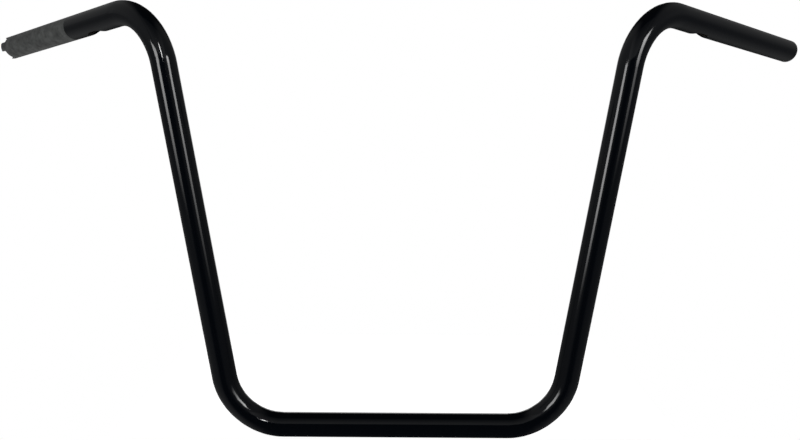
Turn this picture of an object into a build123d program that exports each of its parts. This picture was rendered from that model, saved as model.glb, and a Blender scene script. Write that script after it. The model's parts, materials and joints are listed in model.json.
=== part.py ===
from build123d import *
import math
import os

# A tall one-piece motorcycle handlebar, bent from a single length of round steel tube.
# Millimetres and degrees. The origin is the middle of the level base, on the tube's centreline.
# +X runs along the base towards the rider's left, +Y towards the rider, +Z up the uprights.

# Tube
TUBE_DIAMETER = 25.4
WALL = 2.4
END_BREAK = 0.5  # broken edge round each cut end

# Straight runs, from tangent point to tangent point
BASE_RUN = 233.8
UPRIGHT_RUN = 322.0
GRIP_RUN = 229.6

# Bends, with radii to the centreline
LOWER_BEND_RADIUS = 61.8
UPPER_BEND_RADIUS = 59.3
UPRIGHT_LEAN = 8.8  # uprights lean outwards from the vertical
GRIP_SWEEP = 37.9  # grips turn back towards the rider
GRIP_DROOP = 6.6  # grips fall towards their ends

# A bent tube flattens a little: the outside of the bend comes in and the sides bulge
BEND_FLATTENING = 0.025  # share of the diameter that is lost in the middle of a bend
BEND_SHARES = [step / 8 for step in range(9)]  # places along a bend that it is lofted through

# Oblong wiring hole under each grip, beside the upper bend
GRIP_HOLE_LENGTH = 27.0
GRIP_HOLE_WIDTH = 15.0
GRIP_HOLE_FROM_BEND = 43.0  # from the end of the bend to the middle of the hole
GRIP_HOLE_TURN = -104.0  # round the tube from the front, upwards positive

# Oblong wiring hole in the base, which faces down once the bar is clamped with its uprights leaning back
BASE_HOLE_LENGTH = 32.0
BASE_HOLE_WIDTH = 11.0
BASE_HOLE_TURN = -127.5  # round the tube from the front, upwards positive

HOLE_EDGE_BREAK = 0.8  # every wiring hole has its outer edge broken, so that it doesn't chafe the wires

# Two slots of different sizes in the throttle end, which index the twist grip's sensor
UPPER_SLOT_WIDTH = 8.0
UPPER_SLOT_DEPTH = 10.0
UPPER_SLOT_TURN = 41.0  # round the tube from the front, upwards positive
LOWER_SLOT_WIDTH = 12.0
LOWER_SLOT_DEPTH = 8.0
LOWER_SLOT_TURN = -52.0
SLOT_CORNER_RADIUS = 1.5
SLOT_MOUTH_RADIUS = 2.4

CUT_PAST = 2.0  # how far a cutter reaches past the metal that it removes

TUBE_RADIUS = TUBE_DIAMETER / 2
BORE_RADIUS = TUBE_RADIUS - WALL
RIDERS_LEFT, RIDERS_RIGHT = 1, -1  # sign of X on each side; the throttle is on the rider's right


def upright_direction(side):
    lean = math.radians(UPRIGHT_LEAN)
    return Vector(side * math.sin(lean), 0, math.cos(lean))


def grip_direction(side):
    sweep = math.radians(GRIP_SWEEP)
    droop = math.radians(GRIP_DROOP)
    level = math.cos(droop)
    return Vector(side * math.cos(sweep) * level, math.sin(sweep) * level, -math.sin(droop))


def round_grip(side, turn):
    """Direction square to a grip, turned round it from the front upwards."""
    grip = grip_direction(side)
    front = grip.cross(Vector(0, 0, side)).normalized()
    up = front.cross(grip) * side
    angle = math.radians(turn)
    return front * math.cos(angle) + up * math.sin(angle)


def setback(radius, before, after):
    """Distance from a bend's tangent points to the corner where its two runs would meet."""
    return radius * math.tan(math.radians(before.get_angle(after)) / 2)


def half_route(side):
    """Corners of one half of the bar, from the base out to the open end of the grip."""
    along = Vector(side, 0, 0)
    upright = upright_direction(side)
    grip = grip_direction(side)
    lower = setback(LOWER_BEND_RADIUS, along, upright)
    upper = setback(UPPER_BEND_RADIUS, upright, grip)
    base_corner = along * (BASE_RUN / 2 + lower)
    top_corner = base_corner + upright * (lower + UPRIGHT_RUN + upper)
    open_end = top_corner + grip * (upper + GRIP_RUN)
    return [base_corner, top_corner, open_end]


def straight_run(start, along, length, radius):
    return extrude(Plane(origin=start, z_dir=along) * Circle(radius), length)


def eased(share):
    """Rises smoothly from 0 at 0 to 1 at 1."""
    return share * share * (3 - 2 * share)


def bend(corner, before, after, bend_radius, radius):
    """One bend of a rod, round at both ends and flattened between them, most in the middle."""
    angle = math.radians(before.get_angle(after))
    inwards = (after - before * before.dot(after)).normalized()
    start = corner - before * setback(bend_radius, before, after)
    centre = start + inwards * bend_radius
    sections = []
    for share in BEND_SHARES:
        turn = angle * share
        outwards = before * math.sin(turn) - inwards * math.cos(turn)
        along = before * math.cos(turn) + inwards * math.sin(turn)
        loss = BEND_FLATTENING * TUBE_RADIUS * eased(1 - abs(2 * share - 1))
        middle = centre + outwards * (bend_radius - loss)
        place = Plane(origin=middle, x_dir=before.cross(after), z_dir=along)
        outline = Ellipse(radius + loss / 2, radius - loss) if loss else Circle(radius)
        sections.append(place * outline)
    return loft(sections)


def bent_rod(radius):
    """The whole bar as a solid rod, from the base out to both ends."""
    along = Vector(1, 0, 0)
    rod = straight_run(along * (-BASE_RUN / 2), along, BASE_RUN, radius)
    for side in (RIDERS_LEFT, RIDERS_RIGHT):
        upright = upright_direction(side)
        grip = grip_direction(side)
        base_corner, top_corner, open_end = half_route(side)
        rod += bend(base_corner, along * side, upright, LOWER_BEND_RADIUS, radius)
        upright_start = base_corner + upright * setback(LOWER_BEND_RADIUS, along * side, upright)
        rod += straight_run(upright_start, upright, UPRIGHT_RUN, radius)
        rod += bend(top_corner, upright, grip, UPPER_BEND_RADIUS, radius)
        rod += straight_run(open_end - grip * GRIP_RUN, grip, GRIP_RUN, radius)
    return rod


def with_wiring_hole(rod, centre, along, outwards, length, width):
    """Cuts an oblong hole from the axis out through one wall, and breaks its outer edge."""
    place = Plane(origin=centre, x_dir=along, z_dir=outwards)
    cutter = extrude(place * SlotOverall(length, width), TUBE_RADIUS + CUT_PAST)
    drilled = rod - cutter
    edges = new_edges(rod, cutter, combined=drilled)
    rim = [edge for edge in edges if (edge.center() - centre).dot(outwards) > BORE_RADIUS / 2]
    return chamfer(rim, HOLE_EDGE_BREAK)


def with_grip_hole(rod, side):
    grip = grip_direction(side)
    centre = half_route(side)[-1] - grip * (GRIP_RUN - GRIP_HOLE_FROM_BEND)
    outwards = round_grip(side, GRIP_HOLE_TURN)
    return with_wiring_hole(rod, centre, grip, outwards, GRIP_HOLE_LENGTH, GRIP_HOLE_WIDTH)


def with_base_hole(rod):
    angle = math.radians(BASE_HOLE_TURN)
    outwards = Vector(0, -math.cos(angle), math.sin(angle))
    centre = Vector(0, 0, 0)
    along = Vector(1, 0, 0)
    return with_wiring_hole(rod, centre, along, outwards, BASE_HOLE_LENGTH, BASE_HOLE_WIDTH)


def slot_profile(width, depth):
    """Outline of an end slot: X out of the tube from its open end, with rounded floor and mouth corners."""
    slot = Rectangle(depth, width, align=(Align.MAX, Align.CENTER))
    mouth_width = width + 2 * (SLOT_MOUTH_RADIUS + CUT_PAST)
    profile = slot + Rectangle(CUT_PAST, mouth_width, align=(Align.MIN, Align.CENTER))
    floor_corners = profile.vertices().group_by(Axis.X)[0]
    profile = fillet(floor_corners, SLOT_CORNER_RADIUS)
    mouth_corners = profile.vertices().filter_by_position(Axis.X, -CUT_PAST / 2, CUT_PAST / 2)
    mouth_corners = mouth_corners.sort_by(lambda corner: abs(corner.Y))[:2]
    return fillet(mouth_corners, SLOT_MOUTH_RADIUS)


def end_slot(width, depth, turn):
    """Cutter for one slot in the rim of the throttle end, from the axis out past the surface."""
    open_end = half_route(RIDERS_RIGHT)[-1]
    place = Plane(open_end, x_dir=grip_direction(RIDERS_RIGHT), z_dir=round_grip(RIDERS_RIGHT, turn))
    return extrude(place * slot_profile(width, depth), TUBE_RADIUS + CUT_PAST)


def is_end_rim(edge):
    """True for a full circle round one of the two open ends."""
    ends = [half_route(side)[-1] for side in (RIDERS_LEFT, RIDERS_RIGHT)]
    return any((edge.arc_center - end).length < END_BREAK for end in ends)


def build_handlebar():
    rod = with_base_hole(bent_rod(TUBE_RADIUS))
    for side in (RIDERS_LEFT, RIDERS_RIGHT):
        rod = with_grip_hole(rod, side)
    tube = rod - bent_rod(BORE_RADIUS)
    rims = [edge for edge in tube.edges().filter_by(GeomType.CIRCLE) if is_end_rim(edge)]
    tube = chamfer(rims, END_BREAK)
    tube -= end_slot(UPPER_SLOT_WIDTH, UPPER_SLOT_DEPTH, UPPER_SLOT_TURN)
    tube -= end_slot(LOWER_SLOT_WIDTH, LOWER_SLOT_DEPTH, LOWER_SLOT_TURN)
    return tube


handlebar = build_handlebar()
handlebar.label = "handlebar"

os.makedirs("parts", exist_ok=True)
export_step(handlebar, "parts/handlebar.step")
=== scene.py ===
import json
import math

import bpy
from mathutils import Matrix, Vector


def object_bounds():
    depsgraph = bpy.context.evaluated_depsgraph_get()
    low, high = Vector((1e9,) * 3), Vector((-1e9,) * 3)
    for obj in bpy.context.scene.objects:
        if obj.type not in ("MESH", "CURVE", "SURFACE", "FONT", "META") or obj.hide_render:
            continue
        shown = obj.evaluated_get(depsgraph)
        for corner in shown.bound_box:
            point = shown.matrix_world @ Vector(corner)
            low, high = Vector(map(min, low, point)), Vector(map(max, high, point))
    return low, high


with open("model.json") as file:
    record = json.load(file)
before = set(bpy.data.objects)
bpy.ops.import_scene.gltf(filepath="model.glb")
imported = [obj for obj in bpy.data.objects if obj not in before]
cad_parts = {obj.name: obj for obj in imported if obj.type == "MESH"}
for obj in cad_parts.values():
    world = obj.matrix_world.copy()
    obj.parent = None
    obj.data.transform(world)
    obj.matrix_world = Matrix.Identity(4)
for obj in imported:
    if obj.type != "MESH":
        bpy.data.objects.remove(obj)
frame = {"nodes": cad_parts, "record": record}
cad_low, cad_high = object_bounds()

# A tall motorcycle handlebar bent from one steel tube: gloss black all over, apart from the bare
# stretch that the throttle sleeve turns on. Metres, in the frame of the solid.

MM = 0.001

# Runs of tube that the finishes follow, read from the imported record
mounts = {mount["name"]: mount for mount in frame["record"]["mounts"]}
throttle_grip = mounts["throttle_grip"]
throttle_axis = Vector(throttle_grip["axis"])
throttle_length = throttle_grip["dims"]["length_mm"] * MM
throttle_end = Vector(throttle_grip["pos_m"]) + throttle_axis * throttle_length / 2
bore_radius = mounts["throttle_bar_end"]["dims"]["r_mm"] * MM

# Where each finish lies
BARE_LENGTH = 144.5 * MM  # unpainted, from the throttle end
PAINT_EDGE = 0.8 * MM  # over which the paint thins out at the masked edge
EDGE_WANDER = 1.0 * MM  # how far that edge strays
EDGE_WAVE = 12 * MM  # and over what length
BORE_MARGIN = 0.3 * MM  # past the bore's radius, so that the bore's own surface is taken in
END_OVERSPRAY = 20 * MM  # how far paint reaches into an open end
BASE_OVERSPRAY = 1 * MM  # the base has no open end, so almost none gets in there

# Finishes, with colours as sRGB hex
PAINT_BLACK = "030509"
PHOSPHATE_DARK = "282a29"
PHOSPHATE_PALE = "4a4c4b"
MILL_SCALE_DARK = "37302b"
MILL_SCALE_PALE = "5b524a"
PAPER_WHITE = "f2f2f2"
WHITE = "ffffff"
PAINT_ROUGHNESS = 0.1
UNPAINTED_ROUGHNESS = 0.6
PAPER_ROUGHNESS = 0.9
PAINT_IOR = 1.5
CRYSTAL_SHEEN = 0.12
CRYSTAL_SHEEN_ROUGHNESS = 0.4
CLOUD_SIZE = 10 * MM
CLOUD_RANGE = (0.35, 0.65)  # part of the noise that goes from the dark tone to the pale one
PEEL_SIZE = 4 * MM
PEEL_DEPTH = 0.02 * MM
PEEL_STRENGTH = 0.25

# Camera that took the photograph, from the fit of the tube's outline
CAMERA_PLACE = (0.00784, -0.77554, 0.34194)
CAMERA_TURN = (80.9197, -0.2616, 0.3357)  # degrees about X, Y and Z
LENS_MM = 35.126
SENSOR_MM = 36.0

# Studio. Heights and sides are those of a direction of length 1.
BACKDROP_ANGLE = 12.0  # degrees each way from straight behind that reflections find white
BACKDROP_FADE = 8.0
ROOM_LEVEL = 0.01  # what reflections find in front of the bar and above it, where the room is dark
SIDE_LEVEL = 0.19  # what the room's pale side walls add
SIDE_RANGE = (0.2, 0.6)  # how far to the side they start, and are in full
SIDE_SHADE = 0.09  # what they add where they are in shade
SHADE_HEIGHT = -0.2  # where that is
SHADE_RANGE = (0.05, 0.5)  # how far above and below it they leave the shade, and are clear of it
RIGHT_SHARE = 0.68  # how bright the right wall is next to the left one
SHARE_RANGE = (-0.3, 0.3)  # from left to right, where one gives way to the other
AMBIENT_BELOW = 1.0  # light on matt surfaces from a pale table
AMBIENT_ABOVE = 0.0  # and from the room above it
FLOOR_SIZE = (0.6, 0.35)
FLOOR_MIDDLE = (0.0, 0.173)
FLOOR_LIFT = 0.85  # brings the unshaded floor up to the white around it


def linear(hex_colour):
    """sRGB hex, such as 1a1b1c, as the linear colour that Blender's sockets take."""
    def channel(value):
        return value / 12.92 if value <= 0.04045 else ((value + 0.055) / 1.055) ** 2.4

    parts = [int(hex_colour[i:i + 2], 16) / 255 for i in (0, 2, 4)]
    return (*[channel(part) for part in parts], 1.0)


def add(tree, kind, settings=None, **inputs):
    """Adds a node with its settings. An input is a value or another node's output socket.

    Inputs go by name, with _ for a space, or by place as i0, i1 and so on.
    """
    node = tree.nodes.new(kind)
    for name, value in (settings or {}).items():
        setattr(node, name, value)
    for name, value in inputs.items():
        socket = node.inputs[int(name[1:]) if name[1:].isdigit() else name.replace("_", " ")]
        if isinstance(value, bpy.types.NodeSocket):
            tree.links.new(value, socket)
        else:
            socket.default_value = value
    return node


def new_material(name):
    material = bpy.data.materials.new(name)
    material.use_nodes = True
    material.node_tree.nodes.clear()
    return material, material.node_tree


def bare_mask(tree, place):
    """1 on the bare stretch. It was masked by hand with tape, so its edge strays a little."""
    along = add(
        tree, "ShaderNodeVectorMath", {"operation": "DOT_PRODUCT"}, i0=place, i1=tuple(throttle_axis),
    )
    stray = add(tree, "ShaderNodeTexNoise", Vector=place, Scale=1 / EDGE_WAVE, Detail=1.0)
    strayed = add(
        tree, "ShaderNodeMath", {"operation": "MULTIPLY_ADD"},
        i0=stray.outputs["Fac"], i1=EDGE_WANDER, i2=along.outputs["Value"],
    )
    edge = throttle_end.dot(throttle_axis) - BARE_LENGTH + EDGE_WANDER / 2
    mask = add(
        tree, "ShaderNodeMapRange", {"interpolation_type": "SMOOTHSTEP"},
        Value=strayed.outputs[0], From_Min=edge, From_Max=edge + PAINT_EDGE,
    )
    return mask.outputs["Result"]


def bore_mask(tree, place, mount, overspray):
    """1 on the inside of the tube along one straight run, falling to 0 where paint has drifted in."""
    middle = Vector(mount["pos_m"])
    axis = Vector(mount["axis"])
    reach = mount["dims"]["length_mm"] * MM / 2
    offset = add(tree, "ShaderNodeVectorMath", {"operation": "SUBTRACT"}, i0=place, i1=tuple(middle))
    offset = offset.outputs["Vector"]
    along = add(tree, "ShaderNodeVectorMath", {"operation": "DOT_PRODUCT"}, i0=offset, i1=tuple(axis))
    along = along.outputs["Value"]
    across = add(tree, "ShaderNodeVectorMath", {"operation": "CROSS_PRODUCT"}, i0=offset, i1=tuple(axis))
    radius = add(tree, "ShaderNodeVectorMath", {"operation": "LENGTH"}, i0=across.outputs["Vector"])
    inside = add(
        tree, "ShaderNodeMath", {"operation": "LESS_THAN"},
        i0=radius.outputs["Value"], i1=bore_radius + BORE_MARGIN,
    )
    past_start = add(tree, "ShaderNodeMath", {"operation": "GREATER_THAN"}, i0=along, i1=-reach)
    clean = add(
        tree, "ShaderNodeMapRange", {"interpolation_type": "SMOOTHSTEP"},
        Value=along, From_Min=reach - overspray, From_Max=reach, To_Min=1.0, To_Max=0.0,
    )
    mask = add(
        tree, "ShaderNodeMath", {"operation": "MULTIPLY"}, i0=inside.outputs[0], i1=past_start.outputs[0],
    )
    mask = add(tree, "ShaderNodeMath", {"operation": "MULTIPLY"}, i0=mask.outputs[0], i1=clean.outputs[0])
    return mask.outputs[0]


def handlebar_finish():
    """Three finishes of one tube, told apart by place: paint, the bare stretch and the raw bore."""
    material, tree = new_material("gloss_black_stoved_paint_on_phosphated_steel_tube")
    place = add(tree, "ShaderNodeTexCoord").outputs["Object"]
    bare = bare_mask(tree, place)

    # Bore of the base and of both grips: raw drawn tube, seen at the open ends and through the holes
    base_bore = bore_mask(tree, place, mounts["riser_clamp"], BASE_OVERSPRAY)
    left_bore = bore_mask(tree, place, mounts["left_bar_end"], END_OVERSPRAY)
    throttle_bore = bore_mask(tree, place, mounts["throttle_bar_end"], END_OVERSPRAY)
    bore = add(tree, "ShaderNodeMath", {"operation": "MAXIMUM"}, i0=left_bore, i1=throttle_bore)
    bore = add(tree, "ShaderNodeMath", {"operation": "MAXIMUM"}, i0=bore.outputs[0], i1=base_bore)
    bore = bore.outputs[0]

    # Phosphated steel is a dark matt grey with cloudy patches, from crystals that took unevenly
    clouds = add(
        tree, "ShaderNodeTexNoise", Vector=place, Scale=1 / CLOUD_SIZE, Detail=5.0, Roughness=0.7,
    )
    patches = add(
        tree, "ShaderNodeMapRange",
        Value=clouds.outputs["Fac"], From_Min=CLOUD_RANGE[0], From_Max=CLOUD_RANGE[1],
    )
    phosphate = add(
        tree, "ShaderNodeMix", {"data_type": "RGBA"},
        i0=patches.outputs[0], i6=linear(PHOSPHATE_DARK), i7=linear(PHOSPHATE_PALE),
    )
    # The raw bore is brown-grey with mill scale, in patches too
    mill_scale = add(
        tree, "ShaderNodeMix", {"data_type": "RGBA"},
        i0=patches.outputs[0], i6=linear(MILL_SCALE_DARK), i7=linear(MILL_SCALE_PALE),
    )
    colour = add(
        tree, "ShaderNodeMix", {"data_type": "RGBA"},
        i0=bare, i6=linear(PAINT_BLACK), i7=phosphate.outputs[2],
    )
    colour = add(
        tree, "ShaderNodeMix", {"data_type": "RGBA"},
        i0=bore, i6=colour.outputs[2], i7=mill_scale.outputs[2],
    )

    # Paint is glossy, so it shows the lights as sharp lines; both bare finishes spread them out
    unpainted = add(tree, "ShaderNodeMath", {"operation": "MAXIMUM"}, i0=bare, i1=bore)
    roughness = add(
        tree, "ShaderNodeMapRange",
        Value=unpainted.outputs[0], To_Min=PAINT_ROUGHNESS, To_Max=UNPAINTED_ROUGHNESS,
    )
    # Fine crystals on the bare stretch catch light from the side, so its limbs are lighter
    sheen = add(tree, "ShaderNodeMapRange", Value=bare, To_Max=CRYSTAL_SHEEN)
    # Orange peel of sprayed paint, a ripple so shallow that the lines of light stay sharp
    peel = add(tree, "ShaderNodeTexNoise", Vector=place, Scale=1 / PEEL_SIZE, Detail=1.0)
    relief = add(
        tree, "ShaderNodeBump",
        Height=peel.outputs["Fac"], Distance=PEEL_DEPTH, Strength=PEEL_STRENGTH,
    )
    skin = add(
        tree, "ShaderNodeBsdfPrincipled",
        Base_Color=colour.outputs[2], Roughness=roughness.outputs[0], IOR=PAINT_IOR,
        Sheen_Weight=sheen.outputs[0], Sheen_Roughness=CRYSTAL_SHEEN_ROUGHNESS,
        Normal=relief.outputs["Normal"],
    )
    add(tree, "ShaderNodeOutputMaterial", Surface=skin.outputs["BSDF"])
    return material


def place_camera():
    data = bpy.data.cameras.new("photo_camera")
    data.sensor_width = SENSOR_MM
    data.lens = LENS_MM
    camera = bpy.data.objects.new("photo_camera", data)
    bpy.context.scene.collection.objects.link(camera)
    camera.location = CAMERA_PLACE
    camera.rotation_euler = [math.radians(turn) for turn in CAMERA_TURN]
    bpy.context.scene.camera = camera


def seen_directly(tree):
    """1 for rays from the camera, reflected or let through, 0 for those that light matt surfaces."""
    path = add(tree, "ShaderNodeLightPath").outputs
    seen = add(
        tree, "ShaderNodeMath", {"operation": "MAXIMUM"}, i0=path["Is Camera Ray"], i1=path["Is Glossy Ray"],
    )
    seen = add(
        tree, "ShaderNodeMath", {"operation": "MAXIMUM"}, i0=seen.outputs[0], i1=path["Is Transmission Ray"],
    )
    return seen.outputs[0]


def room_level(tree, parts):
    """Brightness of the dim room that reflections find, by the parts of their direction."""
    sideways = add(tree, "ShaderNodeMath", {"operation": "ABSOLUTE"}, i0=parts["X"])
    wall = add(
        tree, "ShaderNodeMapRange", {"interpolation_type": "SMOOTHSTEP"},
        Value=sideways.outputs[0], From_Min=SIDE_RANGE[0], From_Max=SIDE_RANGE[1],
    )
    share = add(
        tree, "ShaderNodeMapRange", {"interpolation_type": "SMOOTHSTEP"}, Value=parts["X"],
        From_Min=SHARE_RANGE[0], From_Max=SHARE_RANGE[1], To_Min=1.0, To_Max=RIGHT_SHARE,
    )
    wall = add(tree, "ShaderNodeMath", {"operation": "MULTIPLY"}, i0=wall.outputs[0], i1=share.outputs[0])
    from_shade = add(tree, "ShaderNodeMath", {"operation": "SUBTRACT"}, i0=parts["Z"], i1=SHADE_HEIGHT)
    from_shade = add(tree, "ShaderNodeMath", {"operation": "ABSOLUTE"}, i0=from_shade.outputs[0])
    wall_level = add(
        tree, "ShaderNodeMapRange", {"interpolation_type": "SMOOTHSTEP"}, Value=from_shade.outputs[0],
        From_Min=SHADE_RANGE[0], From_Max=SHADE_RANGE[1], To_Min=SIDE_SHADE, To_Max=SIDE_LEVEL,
    )
    room = add(
        tree, "ShaderNodeMath", {"operation": "MULTIPLY_ADD"},
        i0=wall.outputs[0], i1=wall_level.outputs[0], i2=ROOM_LEVEL,
    )
    return room.outputs[0]


def light_world():
    """White to the camera all round. Reflections find that white behind the bar, and a dim room
    elsewhere. The ambient light on matt surfaces comes from below."""
    world = bpy.data.worlds.new("studio")
    bpy.context.scene.world = world
    world.use_nodes = True
    tree = world.node_tree
    tree.nodes.clear()
    direction = add(tree, "ShaderNodeTexCoord").outputs["Generated"]
    parts = add(tree, "ShaderNodeSeparateXYZ", Vector=direction).outputs
    backdrop = add(
        tree, "ShaderNodeMapRange", {"interpolation_type": "SMOOTHSTEP"}, Value=parts["Y"],
        From_Min=math.cos(math.radians(BACKDROP_ANGLE + BACKDROP_FADE)),
        From_Max=math.cos(math.radians(BACKDROP_ANGLE)),
    )
    camera_ray = add(tree, "ShaderNodeLightPath").outputs["Is Camera Ray"]
    white = add(tree, "ShaderNodeMath", {"operation": "MAXIMUM"}, i0=camera_ray, i1=backdrop.outputs[0])
    surround = add(
        tree, "ShaderNodeMix", {"data_type": "FLOAT"},
        i0=white.outputs[0], i2=room_level(tree, parts), i3=1.0,
    )
    ambient = add(
        tree, "ShaderNodeMapRange",
        Value=parts["Z"], From_Min=-1.0, To_Min=AMBIENT_BELOW, To_Max=AMBIENT_ABOVE,
    )
    level = add(
        tree, "ShaderNodeMix", {"data_type": "FLOAT"},
        i0=seen_directly(tree), i2=ambient.outputs[0], i3=surround.outputs[0],
    )
    sky = add(tree, "ShaderNodeBackground", Strength=level.outputs[0], Color=linear(WHITE))
    add(tree, "ShaderNodeOutputWorld", Surface=sky.outputs[0])


def add_softbox(
    name, place, aim, width, height, radiance, head=1.0, foot=1.0, rise=1.0, spread=180, gloss_only=False,
):
    """A rectangular softbox. Its brightness goes from one share of the radiance at its foot to another
    at its head, over a share of its height. A grid on its front narrows the spread, in degrees. One that
    is for gloss only isn't seen by matt surfaces."""
    data = bpy.data.lights.new(name, "AREA")
    data.shape = "RECTANGLE"
    data.size = width
    data.size_y = height
    data.energy = radiance * math.pi * width * height
    data.spread = math.radians(spread)
    data.use_nodes = True
    tree = data.node_tree
    tree.nodes.clear()
    across = add(tree, "ShaderNodeNewGeometry").outputs["Parametric"]
    up = add(tree, "ShaderNodeSeparateXYZ", Vector=across).outputs["Y"]
    glow = add(
        tree, "ShaderNodeMapRange", {"interpolation_type": "SMOOTHSTEP"},
        Value=up, From_Max=rise, To_Min=foot, To_Max=head,
    )
    light = add(tree, "ShaderNodeEmission", Strength=glow.outputs[0])
    add(tree, "ShaderNodeOutputLight", Surface=light.outputs[0])
    lamp = bpy.data.objects.new(name, data)
    bpy.context.scene.collection.objects.link(lamp)
    lamp.location = place
    lamp.rotation_euler = (Vector(aim) - Vector(place)).to_track_quat("-Z", "Y").to_euler()
    lamp.visible_diffuse = not gloss_only


def light_bar():
    """The lamps whose reflections draw the lines on the gloss."""
    # Two tall softboxes beside the camera draw the long lines of light down the uprights
    add_softbox(
        "left_softbox", place=(-1.10, -1.26, 0.39), aim=(-0.2, 0, 0.39),
        width=0.55, height=0.94, radiance=6.5, foot=0.0, rise=0.5,
    )
    add_softbox(
        "right_softbox", place=(1.35, -1.11, 0.575), aim=(0.2, 0, 0.575),
        width=0.55, height=1.25, radiance=10.0, foot=0.0,
    )
    # A wide dim one overhead gives the base its soft band
    add_softbox(
        "top_softbox", place=(0, -0.95, 1.29), aim=(0, 0, 0),
        width=1.6, height=1.5, radiance=0.25, head=0.2,
    )
    # Two small gridded ones are there for the short dashes in the gloss of the left bends
    add_softbox(
        "bend_strip", place=(-0.134, -0.448, 0.595), aim=(-0.227, -0.01, 0.385),
        width=0.025, height=0.22, radiance=1.9, spread=38, gloss_only=True,
    )
    add_softbox(
        "camera_lamp", place=(0.008, -0.886, 0.465), aim=(-0.145, -0.01, 0.02),
        width=0.05, height=0.2, radiance=0.17, spread=12, gloss_only=True,
    )


def lay_floor():
    """A white sheet under the bar, which the base stands on."""
    # Matt paper scatters light evenly, so it shows the bar's soft shadow and no highlight
    material, tree = new_material("white_matt_paper")
    lift = add(tree, "ShaderNodeMath", {"operation": "MULTIPLY"}, i0=seen_directly(tree), i1=FLOOR_LIFT)
    paper = add(
        tree, "ShaderNodeBsdfPrincipled", Base_Color=linear(PAPER_WHITE), Roughness=PAPER_ROUGHNESS,
        Specular_IOR_Level=0.0, Emission_Color=linear(WHITE), Emission_Strength=lift.outputs[0],
    )
    add(tree, "ShaderNodeOutputMaterial", Surface=paper.outputs[0])
    bpy.ops.object.select_all(action="DESELECT")
    bpy.ops.mesh.primitive_plane_add(size=1, location=FLOOR_MIDDLE + (cad_low.z,))
    floor = bpy.context.object
    floor.name = "floor"
    floor.scale = FLOOR_SIZE + (1,)
    bpy.ops.object.transform_apply(location=True, rotation=False, scale=True)
    floor.data.materials.append(material)
    floor.visible_glossy = False


place_camera()
light_world()
lay_floor()
light_bar()

handlebar = frame["nodes"]["handlebar"]
handlebar.material_slots[0].material = handlebar_finish()

bpy.context.scene.view_settings.view_transform = "Standard"
